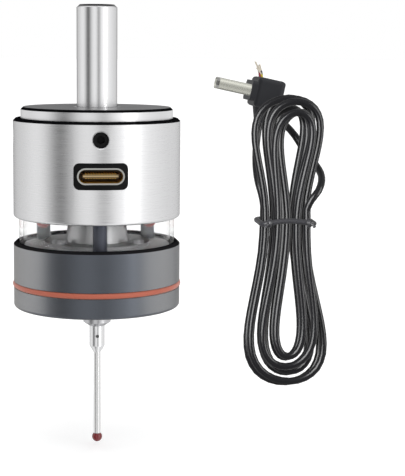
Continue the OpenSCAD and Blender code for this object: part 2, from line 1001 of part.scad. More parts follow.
module seat_balls() {
    color("#dcdcde")
        around_at(pin_angles, seat_r)
            for (side = [-1, 1])
                translate([0, side * ball_half_space, z_ball])
                    sphere(r = ball_r);
}

module seat_screws() {
    z_under = z_seat_top - seat_head_h;
    color("#b9b9ba")
        around_at(post_angles, seat_screw_pos)
            difference() {
                union() {
                    rod(z_base_floor - seat_screw_grip, z_under, m16_r);
                    rod(z_under, z_seat_top, m16_head_r);
                }
                cross_slot(z_seat_top, slot_w, slot_h, m16_head_r);
            }
}

module dust_seal() {
    low = z_base_floor + pocket_gap;
    rim_in = dust_rim_r - dust_rim_w;
    lip_in = boss_r + dust_lip_gap;
    crest = (rim_in + lip_in) / 2;
    color("#2f2f31")
        rotate_extrude()
            polygon([
                [lip_in, low],
                [crest, low + dust_wave],
                [rim_in, low],
                [dust_rim_r, low],
                [dust_rim_r, low + dust_rim_t],
                [rim_in, low + dust_rim_t],
                [rim_in, low + dust_skin],
                [crest, low + dust_wave + dust_skin],
                [lip_in + dust_skin, low + dust_skin],
                [lip_in + dust_skin, low + dust_rim_t],
                [lip_in, low + dust_rim_t]
            ]);
}

module star_hub() {
    color("#b7b9bc")
        difference() {
            union() {
                rod(z_hub_bottom, z_hub_top - hub_chamfer, hub_r);
                cone(z_hub_top - hub_chamfer, z_hub_top, hub_r, hub_r - hub_chamfer);
                rod(z_boss_cone, z_hub_bottom, boss_r);
                cone(z_boss_end, z_boss_cone, stylus_base_r, boss_r);
            }
            around(pin_angles)
                radial_rod(pin_root_r - pin_end, hub_r + cut, z_pin, pin_r + fit);
            rod(z_boss_end - cut, z_boss_end + stud_len + stud_gap, stud_r + fit);
        }
}

module star_pins() {
    color("#e2e2e4")
        around(pin_angles) {
            radial_rod(pin_root_r, pin_tip_r - pin_end, z_pin, pin_r);
            translate([pin_tip_r - pin_end, 0, z_pin])
                rotate([0, 90, 0])
                    cylinder(h = pin_end, r1 = pin_r, r2 = pin_r - pin_end);
        }
}

module stylus_base() {
    color("#c4c5c7")
        difference() {
            union() {
                rod(z_boss_end, z_boss_end + stud_len, stud_r);
                rod(z_taper, z_boss_end, stylus_base_r);
                cone(z_stem_top, z_taper, stem_r + glue_gap + taper_lip, stylus_base_r);
            }
            rod(z_stem_top - cut, z_stem_top + stem_root, stem_r + glue_gap);
            translate([0, stylus_base_r + cut, z_boss_end - cross_hole_drop])
                rotate([90, 0, 0])
                    cylinder(h = 2 * stylus_base_r + 2 * cut, r = cross_hole_r);
        }
}

module stylus_stem() {
    color("#d7d8da") {
        difference() {
            rod(z_tip + tip_r / 2, z_stem_top + stem_root - glue_gap, stem_r);
            translate([0, 0, z_tip])
                sphere(r = tip_r + glue_gap);
        }
        rod(z_tip + tip_r * peg_share, z_tip + tip_r + stem_r, peg_r);
    }
}

module ruby_ball() {
    color("#a6303a")
        difference() {
            translate([0, 0, z_tip])
                sphere(r = tip_r);
            rod(z_tip, z_tip + tip_r + cut, peg_r + glue_gap);
        }
}

// Moves children from the plug's own frame, where it points along -Y, to where it hangs
module at_plug() {
    translate(plug_root)
        rotate([0, plug_tilt, 0])
            rotate([0, 0, -90])
                children();
}

module plug_shell() {
    inner_w = plug_w - 2 * plug_wall;
    inner_t = plug_t - 2 * plug_wall;
    color("#b9b9ae")
        at_plug()
            difference() {
                forwards(0, plug_len, 0)
                    stadium(plug_w, plug_t);
                forwards(plug_back, plug_len + cut, 0)
                    stadium(inner_w, inner_t);
            }
}

module plug_core() {
    core_w = plug_w - 2 * plug_wall - 2 * pocket_gap;
    core_t = plug_t - 2 * plug_wall - 2 * pocket_gap;
    color("#1e1e20")
        at_plug()
            difference() {
                forwards(plug_back, plug_len - plug_core_lip, 0)
                    stadium(core_w, core_t);
                forwards(plug_back + plug_core_back, plug_len, 0)
                    square([plug_slot_w, plug_slot_t], center = true);
            }
}

// A block with round edges, centred: what three rounded bars across each other have in common
module round_block(size, r) {
    intersection() {
        translate([0, 0, -size.z / 2])
            linear_extrude(size.z)
                rounded_rect(size.x, size.y, r);
        translate([0, size.y / 2, 0])
            rotate([90, 0, 0])
                linear_extrude(size.y)
                    rounded_rect(size.x, size.z, r);
        translate([-size.x / 2, 0, 0])
            rotate([90, 0, 90])
                linear_extrude(size.x)
                    rounded_rect(size.y, size.z, r);
    }
}

module plug_overmould() {
    color("#2e3036")
        at_plug() {
            translate([0, relief_back, 0])
                round_block([mould_w, mould_len, mould_t], mould_round);
            forwards(-collar_len - mould_round, 0, 0)
                rounded_rect(collar_w, collar_t, mould_round);
            translate([0, relief_back, 0])
                cone(-exit_drop, mould_round - mould_t / 2, relief_end_r, relief_top_r);
        }
}

module cord_plug_tail() {
    color("#3a3a3e")
        tube(plug_tail_path, cord_r, tail_sides, [0, 1, 0]);
}

module cord_hank() {
    color("#3a3a3e")
        tube(hank_path, cord_r, cord_sides, [0, 1, 0]);
}

module cord_far_tail() {
    color("#3a3a3e")
        tube(far_tail_path, cord_r, tail_sides, [0, 1, 0]);
}

module cable_tie() {
    left = waist_half + cord_r + tie_gap;
    right = waist_half - waist_step / 2 + cord_r + tie_gap;
    deep = back_layer_y + cord_r + tie_gap;
    middle = hank_x + (right - left) / 2;
    color("#333337")
        translate([middle, 0, tie_z - tie_h / 2]) {
            linear_extrude(tie_h)
                difference() {
                    rounded_rect(left + right + 2 * tie_t, 2 * deep + 2 * tie_t, tie_corner + tie_t);
                    rounded_rect(left + right, 2 * deep, tie_corner);
                }
            translate([(left + right) / 2 + tie_t + tie_knot_r - tie_gap, 0, tie_h / 2])
                sphere(r = tie_knot_r);
        }
}

// Moves children to the cut end of the jacket, fanned out to the four corners
module at_core(k) {
    translate(jacket_end)
        rotate([0, 0, 45 + 90 * k])
            translate([core_spread, 0, 0])
                rotate([0, core_lean, 0])
                    children();
}

module core_wires() {
    for (k = [0 : len(core_lens) - 1])
        color(core_colours[k])
            at_core(k)
                rod(0, core_lens[k], core_d / 2);
}

module wire_tips() {
    color("#c9c2b4")
        for (k = [0 : len(core_lens) - 1])
            at_core(k)
                rod(core_lens[k], core_lens[k] + bare_len, bare_d / 2);
}

shank();
top_cap();
shank_screw();
centring_screws();
upper_housing();
port_bezel();
usb_shell();
usb_tongue();
usb_contacts();
main_board();
control_chip();
board_spacers();
board_screws();
board_link();
led_board();
status_leds();
clear_ring();
post_front();
post_left();
post_right();
post_screws();
floor_plate();
spring_tower();
tower_screws();
load_screw();
return_spring();
lower_housing();
seal_ring();
base_cover();
base_screws();
seat_ring();
seat_balls();
seat_screws();
dust_seal();
star_hub();
star_pins();
stylus_base();
stylus_stem();
ruby_ball();
plug_shell();
plug_core();
plug_overmould();
cord_plug_tail();
cord_hank();
cord_far_tail();
cable_tie();
core_wires();
wire_tips();
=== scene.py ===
"""Looks of a three-axis touch probe with its separate cable: camera, cord, finishes and light.

The scene is in the CAD model's own frame: the origin is on the spindle axis at the shank's
shoulder, +Z runs up the shank and the socket faces -Y. Lengths of the object are written in
millimetres, and those of the floor and the lamps in metres.
"""

import math

import bpy
from mathutils import Matrix, Vector


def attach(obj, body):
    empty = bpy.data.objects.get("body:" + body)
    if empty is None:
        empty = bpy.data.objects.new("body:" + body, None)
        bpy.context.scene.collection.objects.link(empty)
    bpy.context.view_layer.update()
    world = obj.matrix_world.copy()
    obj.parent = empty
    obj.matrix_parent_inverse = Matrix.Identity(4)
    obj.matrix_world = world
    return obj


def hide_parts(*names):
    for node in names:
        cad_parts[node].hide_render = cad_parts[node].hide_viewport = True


MM = 0.001

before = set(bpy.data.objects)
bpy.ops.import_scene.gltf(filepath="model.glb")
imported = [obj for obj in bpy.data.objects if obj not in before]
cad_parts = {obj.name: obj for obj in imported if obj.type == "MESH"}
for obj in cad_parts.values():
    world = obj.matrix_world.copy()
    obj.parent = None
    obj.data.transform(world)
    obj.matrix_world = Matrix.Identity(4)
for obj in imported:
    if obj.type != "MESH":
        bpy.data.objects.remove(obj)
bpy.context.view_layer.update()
scene = bpy.context.scene
scene.view_settings.view_transform = "Standard"
bpy.ops.object.select_all(action="DESELECT")


# Camera: its place in millimetres, its turns in degrees and its lens in pixels of the photograph
EYE = Vector((-12.07, -265.73, 11.94))
YAW = 7.13
PITCH = 6.525
ROLL = 0.5
FOCAL_PX = 1340.0
# The photograph's frame lies a little below the line of sight
SHIFT_PX = -38
LONG_SIDE_PX = 476
SENSOR = 36.0
NEAREST, FARTHEST = 0.01, 10.0

camera = bpy.data.objects.new("camera", bpy.data.cameras.new("camera"))
scene.collection.objects.link(camera)
camera.data.sensor_width = SENSOR
camera.data.lens = FOCAL_PX / LONG_SIDE_PX * SENSOR
camera.data.shift_y = SHIFT_PX / LONG_SIDE_PX
camera.data.clip_start = NEAREST
camera.data.clip_end = FARTHEST
turned = (
    Matrix.Rotation(math.radians(-YAW), 4, "Z")
    @ Matrix.Rotation(math.radians(90 - PITCH), 4, "X")
    @ Matrix.Rotation(math.radians(ROLL), 4, "Z")
)
camera.matrix_world = Matrix.Translation(EYE * MM) @ turned
scene.camera = camera


# Cord
# The route of part.scad: down from the plug, wound as a hank, and up to the cut end. Its lobes are
# a little taller here, and each layer's and turn's differ, as in a hank wound by hand.
CORD_D = 1.5
CORD_SIDES = 12
UP = Vector((0, 0, 1))
# Where the plug's shell leaves its overmould, and from there back and down to the cord's exit
PLUG_ROOT = Vector((31.7, 9.6, 3.2))
PLUG_TILT = math.radians(12)
RELIEF_BACK = 3.9
EXIT_DROP = 6.2
PLUG_TAIL = [
    (33.5, 9, -8), (33.2, 7.8, -10.8), (33.1, 6.2, -13.4), (33.3, 4.7, -15.8), (33.8, 3.5, -18),
]
FAR_TAIL = [
    (42.8, -3.4, -18.4), (44.3, -2.9, -16.6), (45.3, -1, -14.9), (45.6, 1.4, -13.5),
    (45.1, 3.8, -12.1), (44, 5.8, -10.5), (42.8, 7.4, -8.5), (41.6, 9, -6.3),
    (40.2, 11.6, -4.4), (38.6, 14.2, -2.8), (36.9, 15.5, -1.2), (35.8, 15.6, 0.9),
    (35.4, 15.5, 2.8),
]
JACKET_END = Vector((35.4, 15.5, 4.9))

HANK_X = 38.6
TIE_Z = -23.2
# Half width at the waist, and how much less each turn further in has
WAIST_HALF = 4.45
WAIST_STEP = 2.05
# A lobe's half width, and how it shrinks with the turns gone in and with their square
TOP_LOBE = (7.3, -3.75, 0.65)
BOTTOM_LOBE = (8.3, -3.0, 0.15)
# A lobe's height from the waist, and how much less each turn further in has
TOP_HEIGHT = 26.5
BOTTOM_HEIGHT = 34.6
END_STEP = 2.1
LAYER_STEP = 2.0
BACK_LAYER_Y = 3.0
TURNS_PER_LAYER = 2
CLIMB_TURNS = 0.5
HANK_TURNS = 7.5
# How each layer's lobes differ: in half width, in height, in their place to the side,
# and in how much further aside each turn further in lies
TOP_CHANGES = [
    (0, 0, 0, 0.6), (0.3, -1.05, 0.6, -0.1), (0.4, -0.54, 0.7, 0.6), (0, -1.6, 0.9, 0.3),
]
BOTTOM_CHANGES = [
    (0, 0, 0.7, 0.2), (-0.8, -2.59, -0.3, 0.3), (-0.1, -1.16, 0.8, 0.1), (-0.8, -3.7, -1.0, 0.6),
]
RINGS_PER_TURN = 32
STEPS_PER_POINT = 2


def turns_in(u):
    """Turns that the spiral has gone in from its widest, after u turns."""
    part = u % (2 * TURNS_PER_LAYER)
    return TURNS_PER_LAYER - abs(part - TURNS_PER_LAYER)


def layer_at(u):
    """Layer after u turns, with each climb spread over the half turn where the spiral reverses."""
    nearest = math.floor(u / TURNS_PER_LAYER + 0.5)
    share = (u - nearest * TURNS_PER_LAYER) / CLIMB_TURNS
    return 0.0 if nearest == 0 else nearest - 1 + min(1.0, max(0.0, share + 0.5))


def hank_point(u):
    """A point of the wound cord after u turns, from the left of its waist downwards."""
    a = math.radians(180 + 360 * u)
    up = math.sin(a) > 0
    changes = TOP_CHANGES if up else BOTTOM_CHANGES
    layer = layer_at(u)
    below = min(int(layer), len(changes) - 2)
    wider, taller, aside, further = (
        low + (high - low) * (layer - below)
        for low, high in zip(changes[below], changes[below + 1])
    )
    inward = turns_in(u)
    waist = WAIST_HALF - WAIST_STEP * inward
    widest, once, twice = TOP_LOBE if up else BOTTOM_LOBE
    lobe = widest + once * inward + twice * inward ** 2 + wider
    # The lobe has this half width at an eighth of its turn, where half of the flare is added
    flare = 2 * (math.sqrt(2) * lobe - waist)
    tall = (TOP_HEIGHT if up else BOTTOM_HEIGHT) - END_STEP * inward + taller
    swell = math.sin(a) ** 2
    return Vector((
        HANK_X + math.cos(a) * (waist + flare * swell) + (aside + further * inward) * swell,
        BACK_LAYER_Y - LAYER_STEP * layer,
        TIE_Z + tall * math.sin(a),
    ))


hank_start = hank_point(0)
hank_end = hank_point(HANK_TURNS)
back_way = Vector((math.cos(PLUG_TILT), 0, -math.sin(PLUG_TILT)))
exit_way = Vector((-math.sin(PLUG_TILT), 0, -math.cos(PLUG_TILT)))
plug_exit = PLUG_ROOT + RELIEF_BACK * back_way + EXIT_DROP * exit_way
route = [plug_exit, plug_exit + CORD_D * exit_way]
route += [Vector(p) for p in PLUG_TAIL]
route += [hank_start + 2 * CORD_D * UP, hank_start + CORD_D * UP]
rings = int(HANK_TURNS * RINGS_PER_TURN)
route += [hank_point(i / RINGS_PER_TURN) for i in range(rings + 1)]
route += [hank_end + CORD_D * UP, hank_end + 2 * CORD_D * UP]
route += [Vector(p) for p in FAR_TAIL]
route += [JACKET_END - CORD_D * UP, JACKET_END]


def between(a, b, start, end, x):
    """The point on the line through a and b, which stand at start and end, that stands at x."""
    return (end - x) / (end - start) * a + (x - start) / (end - start) * b


def smooth_route(points, steps):
    """Points of a centripetal curve through the given ones, so that no bend overshoots."""
    padded = [2 * points[0] - points[1], *points, 2 * points[-1] - points[-2]]
    out = []
    for k in range(1, len(padded) - 2):
        p = padded[k - 1:k + 3]
        t = [0.0]
        for a, b in zip(p, p[1:]):
            t.append(t[-1] + (b - a).length ** 0.5)
        for s in range(steps):
            x = t[1] + (t[2] - t[1]) * s / steps
            # Each pass blends neighbours whose stretches overlap at x, until one point is left
            left = p
            for reach in (1, 2):
                left = [
                    between(left[i], left[i + 1], t[i], t[i + reach], x)
                    for i in range(len(left) - 1)
                ]
            out.append(between(*left, t[1], t[2], x))
    out.append(points[-1])
    return out


def round_curve(name, paths_mm, radius_mm, sides, closed=False):
    """Round cord, wire or band of an even number of sides: poly splines with a round bevel."""
    data = bpy.data.curves.new(name, "CURVE")
    data.dimensions = "3D"
    data.bevel_depth = radius_mm * MM
    data.bevel_resolution = sides // 2 - 2
    data.use_fill_caps = not closed
    for path in paths_mm:
        spline = data.splines.new("POLY")
        spline.points.add(len(path) - 1)
        spline.use_cyclic_u = closed
        spline.use_smooth = True
        for point, co in zip(spline.points, path):
            point.co = (co.x * MM, co.y * MM, co.z * MM, 1)
    obj = bpy.data.objects.new(name, data)
    scene.collection.objects.link(obj)
    return obj


cord_points = smooth_route(route, STEPS_PER_POINT)
cord = round_curve("cord", [cord_points], CORD_D / 2, CORD_SIDES)


# Tie
# A round wire round the waist, raised a little in front, with a knot near both front corners
TIE_LEFT = 32.75
TIE_RIGHT = 43.43
TIE_HALF_DEPTH = 4.4
TIE_CORNER = 1.4
TIE_WIRE_R = 0.55
TIE_SIDES = 10
TIE_RAISE = 0.7
TIE_CORNER_STEPS = 6
TIE_FRONT_STEPS = 10
# Each knot lies in from the tie's side and is wound to a radius and a width, which starts a little
# inside its place. Its tip's points are given as steps aside, back and up from the last winding.
KNOT_INSET = 1.3
KNOT_WIRE_R = 0.32
KNOT_SIDES = 8
KNOT_WINDINGS = 2
KNOT_STEPS = 24
KNOT_R = 0.62
KNOT_START = -0.3
KNOT_WIDTH = 0.55
KNOT_TIP = [(0.45, -0.3, -0.25), (0.8, -0.35, -0.8)]


def tie_point(x, y):
    """A point of the tie's wire, raised at the middle of its front."""
    share = (x - TIE_LEFT) / (TIE_RIGHT - TIE_LEFT)
    lift = TIE_RAISE * math.sin(math.pi * min(1, max(0, share))) if y < 0 else 0
    return Vector((x, y, TIE_Z + lift))


def tie_loop():
    """The wire's closed path: a rectangle with round corners, seen from above."""
    left, right = TIE_LEFT + TIE_CORNER, TIE_RIGHT - TIE_CORNER
    half = TIE_HALF_DEPTH - TIE_CORNER
    corners = [(right, half, 0), (left, half, 90), (left, -half, 180), (right, -half, 270)]
    points = []
    for x, y, turn in corners:
        for k in range(TIE_CORNER_STEPS + 1):
            a = math.radians(turn + 90 * k / TIE_CORNER_STEPS)
            points.append(tie_point(x + TIE_CORNER * math.cos(a), y + TIE_CORNER * math.sin(a)))
        # The front's straight stretch follows its left corner
        if turn == 180:
            points += [
                tie_point(left + (right - left) * k / TIE_FRONT_STEPS, -TIE_HALF_DEPTH)
                for k in range(1, TIE_FRONT_STEPS)
            ]
    return points


def knot(x, side):
    """A wire's end wound round the tie at x, with its tip standing out to a side, -1 or 1."""
    middle = tie_point(x, -TIE_HALF_DEPTH)
    points = []
    for k in range(KNOT_STEPS + 1):
        a = math.radians(360 * KNOT_WINDINGS * k / KNOT_STEPS)
        points.append(middle + Vector((
            side * (KNOT_START + KNOT_WIDTH * k / KNOT_STEPS),
            -KNOT_R * math.cos(a),
            KNOT_R * math.sin(a),
        )))
    last = points[-1]
    return points + [last + Vector((side * aside, back, up)) for aside, back, up in KNOT_TIP]


tie_band = round_curve("tie_band", [tie_loop()], TIE_WIRE_R, TIE_SIDES, closed=True)
tie_knots = round_curve(
    "tie_knots", [knot(TIE_LEFT + KNOT_INSET, -1), knot(TIE_RIGHT - KNOT_INSET, 1)],
    KNOT_WIRE_R, KNOT_SIDES)


# Cut end
# Each core: its lean to the right and away from the camera at its end, and its length
CORES = [(-0.2, 0.1, 2.1), (-0.45, 0.1, 2.7), (-0.15, 0, 1.9), (-0.35, -0.1, 1.4)]
CORE_D = 0.5
CORE_SIDES = 10
CORE_STEPS = 10
# Distance of each core's middle line from the cord's, the first core's place round it in degrees,
# and how far the cores start inside the jacket
CORE_OFF = 0.33
CORE_TURN = 45
CORE_ROOT = 0.4
# Bare strands: their length, how far they start inside the insulation, and for each strand its
# radius, its distance from the core's middle line and how much that grows, and its turn per step
BARE_LEN = 1.3
BARE_ROOT = 0.3
STRANDS_PER_CORE = 4
STRAND_R = 0.085
STRAND_SIDES = 6
STRAND_OFF = 0.1
STRAND_FAN = 0.06
STRAND_STEPS = 8
STRAND_STEP_TURN = 30


def core_point(k, up):
    """A point on a core's middle line, some way up from the jacket's end."""
    lean_x, lean_y, length = CORES[k]
    angle = math.radians(CORE_TURN + 360 / len(CORES) * k)
    share = up / length
    return JACKET_END + Vector((
        CORE_OFF * math.cos(angle) + lean_x * share ** 2,
        CORE_OFF * math.sin(angle) + lean_y * share ** 2,
        up,
    ))


def core_path(k):
    """The points of a core's insulation."""
    whole = CORES[k][2] + CORE_ROOT
    return [core_point(k, -CORE_ROOT + whole * i / CORE_STEPS) for i in range(CORE_STEPS + 1)]


def strand(k, turn):
    """One tinned strand, laid round a core's middle line and fanned out a little at the tip."""
    low = CORES[k][2] - BARE_ROOT
    points = []
    for i in range(STRAND_STEPS + 1):
        share = i / STRAND_STEPS
        angle = math.radians(turn + STRAND_STEP_TURN * i)
        off = STRAND_OFF + STRAND_FAN * share ** 2
        aside = Vector((off * math.cos(angle), off * math.sin(angle), 0))
        points.append(core_point(k, low + (BARE_LEN + BARE_ROOT) * share) + aside)
    return points


strand_turns = [360 / STRANDS_PER_CORE * n for n in range(STRANDS_PER_CORE)]
cores = round_curve("cores", [core_path(k) for k in range(len(CORES))], CORE_D / 2, CORE_SIDES)
strands = round_curve(
    "strands", [strand(k, turn) for k in range(len(CORES)) for turn in strand_turns],
    STRAND_R, STRAND_SIDES)


# Materials

def linear(hex_colour):
    """An sRGB hex colour as linear RGBA."""
    channels = [int(hex_colour[i:i + 2], 16) / 255 for i in (1, 3, 5)]
    return [c / 12.92 if c <= 0.04045 else ((c + 0.055) / 1.055) ** 2.4 for c in channels] + [1.0]


def add(tree, kind, inputs, **settings):
    """Adds a node with its settings; an input is given a value, or the socket to link it to."""
    node = tree.nodes.new(kind)
    for key, value in settings.items():
        setattr(node, key, value)
    for key, value in inputs.items():
        if isinstance(value, bpy.types.NodeSocket):
            tree.links.new(value, node.inputs[key])
        else:
            node.inputs[key].default_value = value
    return node


def maths(tree, operation, *values):
    """The result of an operation on one or more values or sockets."""
    node = add(tree, "ShaderNodeMath", dict(enumerate(values)), operation=operation)
    return node.outputs[0]


def blend(tree, share, first, second):
    """A colour between two colours."""
    return add(
        tree, "ShaderNodeMix", {0: share, 6: first, 7: second}, data_type="RGBA").outputs[2]


def start(name, **values):
    """A new material, its node tree and its shader; values are named with _ for spaces."""
    material = bpy.data.materials.new(name)
    material.use_nodes = True
    tree = material.node_tree
    shader = tree.nodes["Principled BSDF"]
    for key, value in values.items():
        shader.inputs[key.replace("_", " ")].default_value = value
    return material, tree, shader


# A grain's noise has this detail and lies mostly between these two levels. It moves the roughness
# by this share either way, and its relief has this strength.
GRAIN_DETAIL = 3.0
GRAIN_LOW = 0.25
GRAIN_HIGH = 0.75
ROUGHNESS_SHARE = 0.15
RELIEF_STRENGTH = 0.6


def grained(name, colour, roughness, grain_mm, depth_mm, tone, stretch=(1, 1, 1), **values):
    """A finish with one fine grain, which moves tone and roughness a little and has a relief.

    grain_mm and depth_mm are the grain's real size and depth, and tone is the share by which it
    moves the colour either way. stretch makes the grain longer along an axis.
    """
    material, tree, shader = start(name, **values)
    place = add(tree, "ShaderNodeTexCoord", {}).outputs["Object"]
    size = [1 / (grain_mm * MM * s) for s in stretch]
    place = add(tree, "ShaderNodeMapping", {"Vector": place, "Scale": size}).outputs["Vector"]
    noise = {"Vector": place, "Scale": 1.0, "Detail": GRAIN_DETAIL}
    grain = add(tree, "ShaderNodeTexNoise", noise).outputs["Fac"]
    middle = linear(colour)[:3]
    dark = [c * (1 - tone) for c in middle] + [1.0]
    light = [min(1.0, c * (1 + tone)) for c in middle] + [1.0]
    mixed = blend(tree, grain, dark, light)
    tree.links.new(mixed, shader.inputs["Base Color"])
    rough = add(tree, "ShaderNodeMapRange", {
        "Value": grain, "From Min": GRAIN_LOW, "From Max": GRAIN_HIGH,
        "To Min": roughness * (1 - ROUGHNESS_SHARE),
        "To Max": min(1.0, roughness * (1 + ROUGHNESS_SHARE)),
    }).outputs["Result"]
    tree.links.new(rough, shader.inputs["Roughness"])
    relief = {"Height": grain, "Strength": RELIEF_STRENGTH, "Distance": depth_mm * MM}
    bump = add(tree, "ShaderNodeBump", relief)
    tree.links.new(bump.outputs["Normal"], shader.inputs["Normal"])
    return material, tree, shader, mixed


NO_LIMIT = 999.0


def banded(made, colour, low_mm, high_mm=NO_LIMIT, inner_mm=0.0, outer_mm=NO_LIMIT, **values):
    """Colours the part of a piece between two heights and two radii, such as a cut edge or face.

    The shader's values that are named, with _ for spaces, hold in that part alone.
    """
    material, tree, shader, mixed = made
    place = add(tree, "ShaderNodeTexCoord", {}).outputs["Object"]
    height = add(tree, "ShaderNodeSeparateXYZ", {"Vector": place}).outputs["Z"]
    flat = add(tree, "ShaderNodeVectorMath", {0: place, 1: (1, 1, 0)}, operation="MULTIPLY")
    radius = add(
        tree, "ShaderNodeVectorMath", {0: flat.outputs[0]}, operation="LENGTH").outputs["Value"]
    inside = 1.0
    for value, limit_mm, test in (
        (height, low_mm, "GREATER_THAN"), (height, high_mm, "LESS_THAN"),
        (radius, inner_mm, "GREATER_THAN"), (radius, outer_mm, "LESS_THAN"),
    ):
        passed = maths(tree, test, value, limit_mm * MM)
        inside = maths(tree, "MULTIPLY", passed, inside)
    both = blend(tree, inside, mixed, linear(colour))
    tree.links.new(both, shader.inputs["Base Color"])
    for key, value in values.items():
        socket = shader.inputs[key.replace("_", " ")]
        outside = socket.links[0].from_socket if socket.is_linked else socket.default_value
        amount = add(
            tree, "ShaderNodeMix", {0: inside, 2: outside, 3: value}, data_type="FLOAT")
        tree.links.new(amount.outputs[0], socket)
    return material, tree, shader, both


# Marks that run round an upright piece: how many times longer the grain is along X, Y and Z
LATHE_MARKS = (40, 40, 1)
GRINDING_MARKS = (30, 30, 1)
SHORT_MARKS = (20, 20, 1)
# Where the bands of colour lie, as heights and as distances from the spindle axis
SILVER_EDGE_AND_SHADE_LOW = -2.7
GREY_EDGE_LOW = -27.1
CAP_FACE_LOW = -0.02
CAP_EDGE_LOW = -0.5
CAP_EDGE_INNER = 14.45
SHANK_EDGE_LOW = 19.6
SHANK_EDGE_INNER = 3.3
CROSS_HOLE_SHADE = (-46.35, -45.45)
CROSS_HOLE_SHADE_OUTER = 1.45
SOCKET_INSIDE = (-13.65, -11.05)
SOCKET_INSIDE_OUTER = 16.05
TONGUE_PLATE = (-12.45, -12.25)
# Black edges, and the ring of painted shade beside the cap, are dull from every side
DULL_BLACK_EDGE_AND_SHADE = {"Metallic": 0.0, "Specular_IOR_Level": 0.0}

# Turned aluminium, clear anodised: a bright metal whose lathe marks run round it
# Its top is black and dull: the cut edge, and the ring of top face beside the cap, which is
# painted shade
silver_anodised = banded(
    grained("silver_anodised_aluminium", "#dcdcdd", 0.29, 0.12, 0.002, 0.05, LATHE_MARKS,
            Metallic=1.0, Specular_Tint=(0.7, 0.7, 0.7, 1)),
    "#0c0c0e", SILVER_EDGE_AND_SHADE_LOW, **DULL_BLACK_EDGE_AND_SHADE)
# The same metal on the cap: a bright rim, a duller face that was cut last, and a black cut edge
cap_metal = banded(
    banded(
        grained("turned_cap_aluminium", "#dcdcdd", 0.31, 0.12, 0.002, 0.05, LATHE_MARKS,
                Metallic=1.0),
        "#717173", CAP_FACE_LOW, Metallic=0.3),
    "#0c0c0e", CAP_EDGE_LOW, CAP_FACE_LOW, CAP_EDGE_INNER, **DULL_BLACK_EDGE_AND_SHADE)
# Turned aluminium, slate grey anodised: darker, softer highlights
grey_anodised = banded(
    grained("slate_anodised_aluminium", "#54585f", 0.36, 0.12, 0.002, 0.05, LATHE_MARKS,
            Metallic=0.85, Specular_Tint=(0.3, 0.3, 0.3, 1), Sheen_Weight=0.3,
            Sheen_Roughness=0.5),
    "#19191b", GREY_EDGE_LOW, Sheen_Weight=0.0, **DULL_BLACK_EDGE_AND_SHADE)
# Ground tool steel of the shank: long even highlights, and a dark edge round its end
ground_steel = banded(
    grained("ground_steel", "#dededf", 0.2, 0.1, 0.001, 0.04, GRINDING_MARKS,
            Metallic=1.0, Specular_Tint=(0.5, 0.5, 0.5, 1)),
    "#1c1c1e", SHANK_EDGE_LOW, inner_mm=SHANK_EDGE_INNER, Metallic=0.0, Specular_IOR_Level=0.2)
# The same steel on the stylus base, with painted shade: black inside its cross hole
base_steel = banded(
    grained("ground_stylus_steel", "#dededf", 0.2, 0.1, 0.001, 0.04, GRINDING_MARKS,
            Metallic=1.0),
    "#060607", *CROSS_HOLE_SHADE, outer_mm=CROSS_HOLE_SHADE_OUTER, Metallic=0.0)
# Aluminium of the tower, the floor plate and the posts
tower_metal = grained(
    "machined_aluminium", "#b4b4b5", 0.38, 0.15, 0.003, 0.08, SHORT_MARKS, Metallic=1.0)
plate_metal = grained("blasted_aluminium_plate", "#d0d0d2", 0.5, 0.1, 0.004, 0.08, Metallic=0.4)
post_metal = grained(
    "slate_anodised_posts", "#4a4d57", 0.4, 0.12, 0.002, 0.06, SHORT_MARKS, Metallic=0.6)
# Small metal parts
screw_steel = grained("zinc_plated_steel", "#bdbdbf", 0.3, 0.2, 0.002, 0.08, Metallic=1.0)
# The centring screws are black oxide, darkened to near-black as painted shade of the holes they
# sit in
grub_black = grained("blackened_grub_screw_and_shade", "#050506", 0.6, 0.1, 0.003, 0.12, IOR=1.3)
black_oxide = grained("black_oxide_steel", "#26262a", 0.42, 0.1, 0.003, 0.12, Metallic=0.6)
polished_steel = grained(
    "polished_bearing_steel", "#dcdce0", 0.08, 0.4, 0.0005, 0.03, Metallic=1.0)
spring_steel = grained("spring_steel_wire", "#b4b4b2", 0.25, 0.15, 0.002, 0.06, Metallic=1.0)
brass = grained("turned_brass", "#c6a95a", 0.3, 0.1, 0.002, 0.06, SHORT_MARKS, Metallic=1.0)
# Metal of the socket, gilt inside, and of the plug
socket_steel = banded(
    grained("stamped_steel_shell", "#c9c9c4", 0.24, 0.1, 0.002, 0.05, Metallic=1.0),
    "#d9a83f", *SOCKET_INSIDE, outer_mm=SOCKET_INSIDE_OUTER, Metallic=0.25)
gold_contacts = grained(
    "gold_plated_contacts", "#e3b455", 0.3, 0.08, 0.001, 0.05, Metallic=0.4)
plug_nickel = grained(
    "nickel_plated_plug", "#c8c8be", 0.27, 0.1, 0.002, 0.06, (1, 8, 1), Metallic=1.0)
# Moulded plastics
black_plastic = grained("moulded_black_abs", "#121213", 0.42, 0.08, 0.003, 0.1, IOR=1.45)
bezel_plastic = grained("matte_black_bezel", "#0e0e0f", 0.5, 0.08, 0.003, 0.1, IOR=1.2)
# The socket's tongue is brown like the contacts on both its sides, with a pale middle plate's edge
tongue_plastic = banded(
    grained("gilt_socket_tongue", "#6f5836", 0.4, 0.08, 0.002, 0.08, IOR=1.45),
    "#c4b185", *TONGUE_PLATE)
plug_plastic = grained("moulded_grey_plug_core", "#a9a9a6", 0.4, 0.08, 0.002, 0.05, IOR=1.45)
chip_plastic = grained("epoxy_chip_case", "#242426", 0.5, 0.06, 0.003, 0.1, IOR=1.5)
seat_plastic = grained("moulded_acetal", "#d8d2be", 0.4, 0.15, 0.003, 0.03, IOR=1.48)
board = grained(
    "solder_masked_board", "#20553a", 0.32, 0.35, 0.006, 0.12, IOR=1.5, Coat_Weight=0.4)
